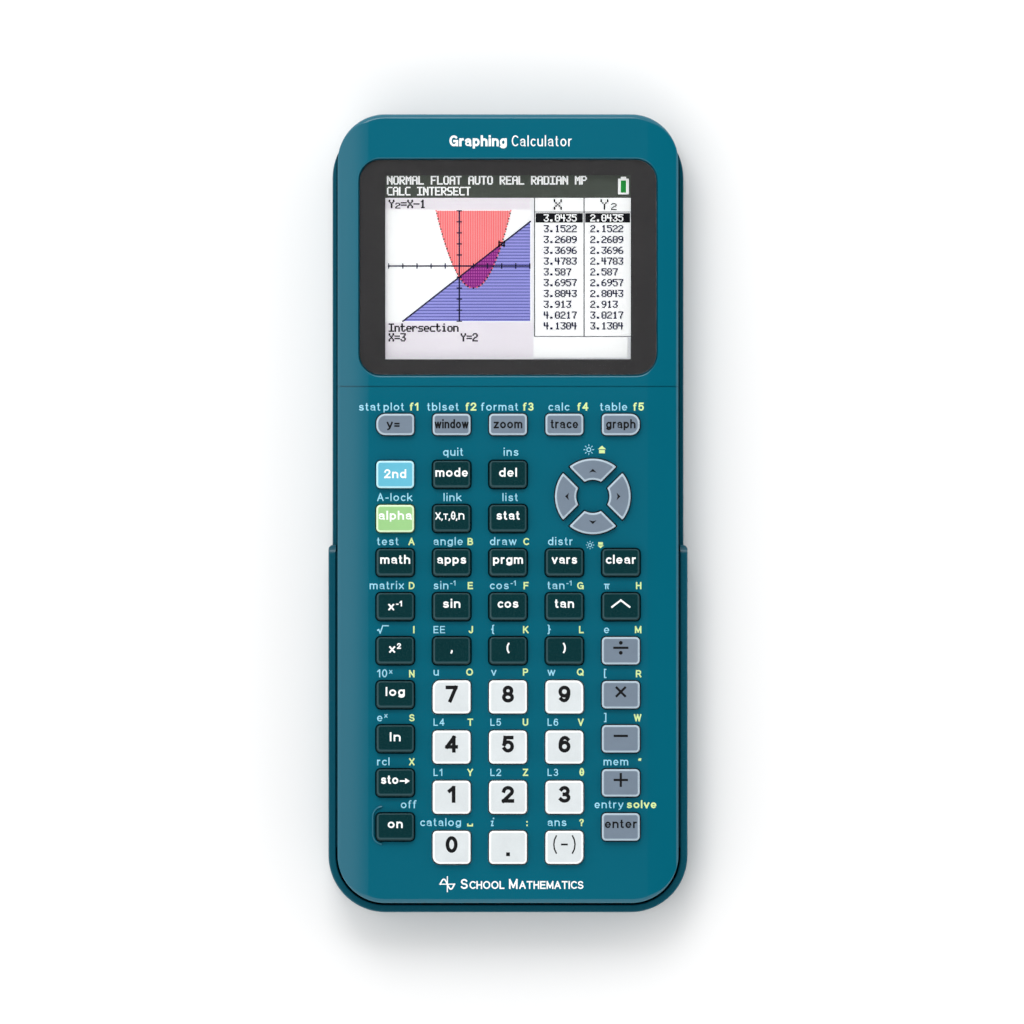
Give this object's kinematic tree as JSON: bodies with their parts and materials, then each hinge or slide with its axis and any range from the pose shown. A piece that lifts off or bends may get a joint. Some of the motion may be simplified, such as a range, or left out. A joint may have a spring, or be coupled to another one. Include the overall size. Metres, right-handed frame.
{
  "type": "graphing calculator",
  "caption": "Handheld graphing calculator with a colour screen, sprung keys and arrow pad, stored in a slide cover that clips over its back",
  "frame": {"origin": "centre of the bounding box at its lowest plane, the outer face of the slide cover, with the calculator lying on its back", "axes": "+X to the user's right, +Y along the length towards the screen end, +Z out of the keys, away from the cover"},
  "size_m": [0.0864, 0.192, 0.0175],
  "materials": {
    "shell": "glossy teal, evenly coloured through",
    "cover": "glossy teal, a little darker than the shell",
    "key_dark": "satin blue-black with a rounded shoulder",
    "key_grey": "satin cool grey",
    "key_white": "satin white",
    "key_blue": "satin light blue",
    "key_green": "satin light green",
    "window": "black printed border behind a clear hard-coated pane",
    "display": "lit colour panel in a thin frame",
    "board": "green solder mask over glass-epoxy",
    "membrane": "translucent grey silicone",
    "battery": "black film wrap",
    "button": "plain black moulding"
  },
  "bodies": {
    "calculator": {"front_shell": "shell", "rear_shell": "shell", "battery_door": "shell", "battery_pack": "battery", "main_board": "board", "lcd_module": "display", "screen_window": "window", "keypad_membrane": "membrane"},
    "slide_cover": {"slide_cover": "cover"},
    "reset_button": {"reset_button": "button"},
    "key_y_equals": {"key_y_equals": "key_grey"},
    "key_window": {"key_window": "key_grey"},
    "key_zoom": {"key_zoom": "key_grey"},
    "key_trace": {"key_trace": "key_grey"},
    "key_graph": {"key_graph": "key_grey"},
    "key_2nd": {"key_2nd": "key_blue"},
    "key_mode": {"key_mode": "key_dark"},
    "key_del": {"key_del": "key_dark"},
    "key_alpha": {"key_alpha": "key_green"},
    "key_variable": {"key_variable": "key_dark"},
    "key_stat": {"key_stat": "key_dark"},
    "key_math": {"key_math": "key_dark"},
    "key_apps": {"key_apps": "key_dark"},
    "key_prgm": {"key_prgm": "key_dark"},
    "key_vars": {"key_vars": "key_dark"},
    "key_clear": {"key_clear": "key_dark"},
    "key_reciprocal": {"key_reciprocal": "key_dark"},
    "key_sin": {"key_sin": "key_dark"},
    "key_cos": {"key_cos": "key_dark"},
    "key_tan": {"key_tan": "key_dark"},
    "key_power": {"key_power": "key_dark"},
    "key_square": {"key_square": "key_dark"},
    "key_comma": {"key_comma": "key_dark"},
    "key_paren_open": {"key_paren_open": "key_dark"},
    "key_paren_close": {"key_paren_close": "key_dark"},
    "key_divide": {"key_divide": "key_grey"},
    "key_log": {"key_log": "key_dark"},
    "key_multiply": {"key_multiply": "key_grey"},
    "key_ln": {"key_ln": "key_dark"},
    "key_minus": {"key_minus": "key_grey"},
    "key_store": {"key_store": "key_dark"},
    "key_plus": {"key_plus": "key_grey"},
    "key_on": {"key_on": "key_dark"},
    "key_enter": {"key_enter": "key_grey"},
    "key_7": {"key_7": "key_white"},
    "key_8": {"key_8": "key_white"},
    "key_9": {"key_9": "key_white"},
    "key_4": {"key_4": "key_white"},
    "key_5": {"key_5": "key_white"},
    "key_6": {"key_6": "key_white"},
    "key_1": {"key_1": "key_white"},
    "key_2": {"key_2": "key_white"},
    "key_3": {"key_3": "key_white"},
    "key_0": {"key_0": "key_white"},
    "key_point": {"key_point": "key_white"},
    "key_negate": {"key_negate": "key_white"},
    "key_right": {"key_right": "key_grey"},
    "key_up": {"key_up": "key_grey"},
    "key_left": {"key_left": "key_grey"},
    "key_down": {"key_down": "key_grey"}
  },
  "joints": [
    {"name": "cover_slide", "type": "slide", "parent": "calculator", "child": "slide_cover", "axis": [0, -1, 0], "range_m": [0, 0.195]},
    {"name": "reset_press", "type": "slide", "parent": "calculator", "child": "reset_button", "axis": [0, 0, 1], "range_m": [0, 0.0005], "stiffness_N_per_m": 500, "springref_m": -0.0004},
    {"name": "press_y_equals", "type": "slide", "parent": "calculator", "child": "key_y_equals", "axis": [0, 0, -1], "range_m": [0, 0.0008], "stiffness_N_per_m": 600, "springref_m": -0.0008},
    {"name": "press_window", "type": "slide", "parent": "calculator", "child": "key_window", "axis": [0, 0, -1], "range_m": [0, 0.0008], "stiffness_N_per_m": 600, "springref_m": -0.0008},
    {"name": "press_zoom", "type": "slide", "parent": "calculator", "child": "key_zoom", "axis": [0, 0, -1], "range_m": [0, 0.0008], "stiffness_N_per_m": 600, "springref_m": -0.0008},
    {"name": "press_trace", "type": "slide", "parent": "calculator", "child": "key_trace", "axis": [0, 0, -1], "range_m": [0, 0.0008], "stiffness_N_per_m": 600, "springref_m": -0.0008},
    {"name": "press_graph", "type": "slide", "parent": "calculator", "child": "key_graph", "axis": [0, 0, -1], "range_m": [0, 0.0008], "stiffness_N_per_m": 600, "springref_m": -0.0008},
    {"name": "press_2nd", "type": "slide", "parent": "calculator", "child": "key_2nd", "axis": [0, 0, -1], "range_m": [0, 0.0008], "stiffness_N_per_m": 600, "springref_m": -0.0008},
    {"name": "press_mode", "type": "slide", "parent": "calculator", "child": "key_mode", "axis": [0, 0, -1], "range_m": [0, 0.0008], "stiffness_N_per_m": 600, "springref_m": -0.0008},
    {"name": "press_del", "type": "slide", "parent": "calculator", "child": "key_del", "axis": [0, 0, -1], "range_m": [0, 0.0008], "stiffness_N_per_m": 600, "springref_m": -0.0008},
    {"name": "press_alpha", "type": "slide", "parent": "calculator", "child": "key_alpha", "axis": [0, 0, -1], "range_m": [0, 0.0008], "stiffness_N_per_m": 600, "springref_m": -0.0008},
    {"name": "press_variable", "type": "slide", "parent": "calculator", "child": "key_variable", "axis": [0, 0, -1], "range_m": [0, 0.0008], "stiffness_N_per_m": 600, "springref_m": -0.0008},
    {"name": "press_stat", "type": "slide", "parent": "calculator", "child": "key_stat", "axis": [0, 0, -1], "range_m": [0, 0.0008], "stiffness_N_per_m": 600, "springref_m": -0.0008},
    {"name": "press_math", "type": "slide", "parent": "calculator", "child": "key_math", "axis": [0, 0, -1], "range_m": [0, 0.0008], "stiffness_N_per_m": 600, "springref_m": -0.0008},
    {"name": "press_apps", "type": "slide", "parent": "calculator", "child": "key_apps", "axis": [0, 0, -1], "range_m": [0, 0.0008], "stiffness_N_per_m": 600, "springref_m": -0.0008},
    {"name": "press_prgm", "type": "slide", "parent": "calculator", "child": "key_prgm", "axis": [0, 0, -1], "range_m": [0, 0.0008], "stiffness_N_per_m": 600, "springref_m": -0.0008},
    {"name": "press_vars", "type": "slide", "parent": "calculator", "child": "key_vars", "axis": [0, 0, -1], "range_m": [0, 0.0008], "stiffness_N_per_m": 600, "springref_m": -0.0008},
    {"name": "press_clear", "type": "slide", "parent": "calculator", "child": "key_clear", "axis": [0, 0, -1], "range_m": [0, 0.0008], "stiffness_N_per_m": 600, "springref_m": -0.0008},
    {"name": "press_reciprocal", "type": "slide", "parent": "calculator", "child": "key_reciprocal", "axis": [0, 0, -1], "range_m": [0, 0.0008], "stiffness_N_per_m": 600, "springref_m": -0.0008},
    {"name": "press_sin", "type": "slide", "parent": "calculator", "child": "key_sin", "axis": [0, 0, -1], "range_m": [0, 0.0008], "stiffness_N_per_m": 600, "springref_m": -0.0008},
    {"name": "press_cos", "type": "slide", "parent": "calculator", "child": "key_cos", "axis": [0, 0, -1], "range_m": [0, 0.0008], "stiffness_N_per_m": 600, "springref_m": -0.0008},
    {"name": "press_tan", "type": "slide", "parent": "calculator", "child": "key_tan", "axis": [0, 0, -1], "range_m": [0, 0.0008], "stiffness_N_per_m": 600, "springref_m": -0.0008},
    {"name": "press_power", "type": "slide", "parent": "calculator", "child": "key_power", "axis": [0, 0, -1], "range_m": [0, 0.0008], "stiffness_N_per_m": 600, "springref_m": -0.0008},
    {"name": "press_square", "type": "slide", "parent": "calculator", "child": "key_square", "axis": [0, 0, -1], "range_m": [0, 0.0008], "stiffness_N_per_m": 600, "springref_m": -0.0008},
    {"name": "press_comma", "type": "slide", "parent": "calculator", "child": "key_comma", "axis": [0, 0, -1], "range_m": [0, 0.0008], "stiffness_N_per_m": 600, "springref_m": -0.0008},
    {"name": "press_paren_open", "type": "slide", "parent": "calculator", "child": "key_paren_open", "axis": [0, 0, -1], "range_m": [0, 0.0008], "stiffness_N_per_m": 600, "springref_m": -0.0008},
    {"name": "press_paren_close", "type": "slide", "parent": "calculator", "child": "key_paren_close", "axis": [0, 0, -1], "range_m": [0, 0.0008], "stiffness_N_per_m": 600, "springref_m": -0.0008},
    {"name": "press_divide", "type": "slide", "parent": "calculator", "child": "key_divide", "axis": [0, 0, -1], "range_m": [0, 0.0008], "stiffness_N_per_m": 600, "springref_m": -0.0008},
    {"name": "press_log", "type": "slide", "parent": "calculator", "child": "key_log", "axis": [0, 0, -1], "range_m": [0, 0.0008], "stiffness_N_per_m": 600, "springref_m": -0.0008},
    {"name": "press_multiply", "type": "slide", "parent": "calculator", "child": "key_multiply", "axis": [0, 0, -1], "range_m": [0, 0.0008], "stiffness_N_per_m": 600, "springref_m": -0.0008},
    {"name": "press_ln", "type": "slide", "parent": "calculator", "child": "key_ln", "axis": [0, 0, -1], "range_m": [0, 0.0008], "stiffness_N_per_m": 600, "springref_m": -0.0008},
    {"name": "press_minus", "type": "slide", "parent": "calculator", "child": "key_minus", "axis": [0, 0, -1], "range_m": [0, 0.0008], "stiffness_N_per_m": 600, "springref_m": -0.0008},
    {"name": "press_store", "type": "slide", "parent": "calculator", "child": "key_store", "axis": [0, 0, -1], "range_m": [0, 0.0008], "stiffness_N_per_m": 600, "springref_m": -0.0008},
    {"name": "press_plus", "type": "slide", "parent": "calculator", "child": "key_plus", "axis": [0, 0, -1], "range_m": [0, 0.0008], "stiffness_N_per_m": 600, "springref_m": -0.0008},
    {"name": "press_on", "type": "slide", "parent": "calculator", "child": "key_on", "axis": [0, 0, -1], "range_m": [0, 0.0008], "stiffness_N_per_m": 600, "springref_m": -0.0008},
    {"name": "press_enter", "type": "slide", "parent": "calculator", "child": "key_enter", "axis": [0, 0, -1], "range_m": [0, 0.0008], "stiffness_N_per_m": 600, "springref_m": -0.0008},
    {"name": "press_7", "type": "slide", "parent": "calculator", "child": "key_7", "axis": [0, 0, -1], "range_m": [0, 0.0008], "stiffness_N_per_m": 600, "springref_m": -0.0008},
    {"name": "press_8", "type": "slide", "parent": "calculator", "child": "key_8", "axis": [0, 0, -1], "range_m": [0, 0.0008], "stiffness_N_per_m": 600, "springref_m": -0.0008},
    {"name": "press_9", "type": "slide", "parent": "calculator", "child": "key_9", "axis": [0, 0, -1], "range_m": [0, 0.0008], "stiffness_N_per_m": 600, "springref_m": -0.0008},
    {"name": "press_4", "type": "slide", "parent": "calculator", "child": "key_4", "axis": [0, 0, -1], "range_m": [0, 0.0008], "stiffness_N_per_m": 600, "springref_m": -0.0008},
    {"name": "press_5", "type": "slide", "parent": "calculator", "child": "key_5", "axis": [0, 0, -1], "range_m": [0, 0.0008], "stiffness_N_per_m": 600, "springref_m": -0.0008},
    {"name": "press_6", "type": "slide", "parent": "calculator", "child": "key_6", "axis": [0, 0, -1], "range_m": [0, 0.0008], "stiffness_N_per_m": 600, "springref_m": -0.0008},
    {"name": "press_1", "type": "slide", "parent": "calculator", "child": "key_1", "axis": [0, 0, -1], "range_m": [0, 0.0008], "stiffness_N_per_m": 600, "springref_m": -0.0008},
    {"name": "press_2", "type": "slide", "parent": "calculator", "child": "key_2", "axis": [0, 0, -1], "range_m": [0, 0.0008], "stiffness_N_per_m": 600, "springref_m": -0.0008},
    {"name": "press_3", "type": "slide", "parent": "calculator", "child": "key_3", "axis": [0, 0, -1], "range_m": [0, 0.0008], "stiffness_N_per_m": 600, "springref_m": -0.0008},
    {"name": "press_0", "type": "slide", "parent": "calculator", "child": "key_0", "axis": [0, 0, -1], "range_m": [0, 0.0008], "stiffness_N_per_m": 600, "springref_m": -0.0008},
    {"name": "press_point", "type": "slide", "parent": "calculator", "child": "key_point", "axis": [0, 0, -1], "range_m": [0, 0.0008], "stiffness_N_per_m": 600, "springref_m": -0.0008},
    {"name": "press_negate", "type": "slide", "parent": "calculator", "child": "key_negate", "axis": [0, 0, -1], "range_m": [0, 0.0008], "stiffness_N_per_m": 600, "springref_m": -0.0008},
    {"name": "press_right", "type": "slide", "parent": "calculator", "child": "key_right", "axis": [0, 0, -1], "range_m": [0, 0.0008], "stiffness_N_per_m": 600, "springref_m": -0.0008},
    {"name": "press_up", "type": "slide", "parent": "calculator", "child": "key_up", "axis": [0, 0, -1], "range_m": [0, 0.0008], "stiffness_N_per_m": 600, "springref_m": -0.0008},
    {"name": "press_left", "type": "slide", "parent": "calculator", "child": "key_left", "axis": [0, 0, -1], "range_m": [0, 0.0008], "stiffness_N_per_m": 600, "springref_m": -0.0008},
    {"name": "press_down", "type": "slide", "parent": "calculator", "child": "key_down", "axis": [0, 0, -1], "range_m": [0, 0.0008], "stiffness_N_per_m": 600, "springref_m": -0.0008}
  ]
}
